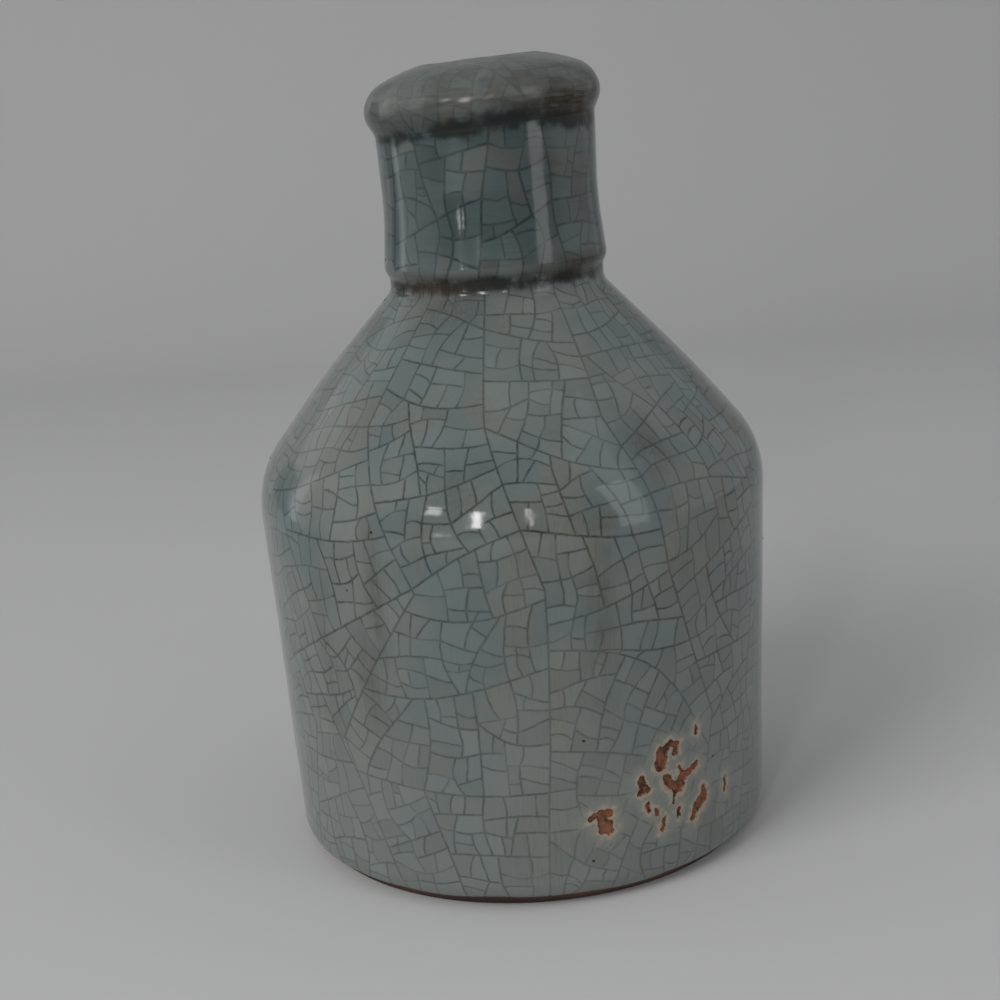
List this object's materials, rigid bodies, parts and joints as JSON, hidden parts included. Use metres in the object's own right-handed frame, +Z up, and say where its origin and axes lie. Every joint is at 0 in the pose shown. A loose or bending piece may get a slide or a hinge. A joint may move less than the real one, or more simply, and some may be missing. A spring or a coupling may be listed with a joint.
{
  "type": "bottle vase",
  "caption": "Upright round bottle vase with a near-cylindrical body, sloping shoulder, short neck and rounded lip, in chipped grey-green crackle glaze over terracotta.",
  "frame": {"origin": "middle of the foot, in the plane of the table that the vase stands on", "axes": "+Z up along the body's axis; -Y towards the side seen in the picture, +X to its right"},
  "size_m": [0.15, 0.15, 0.2289],
  "materials": {
    "terracotta": "bare fired earthenware, matte red-brown",
    "slip": "fired joining slip, matte",
    "crackle_glaze": "thick glossy grey-green glaze with dark crackle",
    "lining_glaze": "thinner grey-green lining glaze"
  },
  "bodies": {
    "root": {"foot_ring": "terracotta", "base_disc": "terracotta", "body_wall": "terracotta", "shoulder": "terracotta", "neck_collar": "terracotta", "lip_roll": "terracotta", "foot_slip": "slip", "base_slip": "slip", "shoulder_slip": "slip", "neck_slip": "slip", "lip_slip": "slip", "outer_glaze": "crackle_glaze", "inner_glaze": "lining_glaze"}
  },
  "joints": []
}
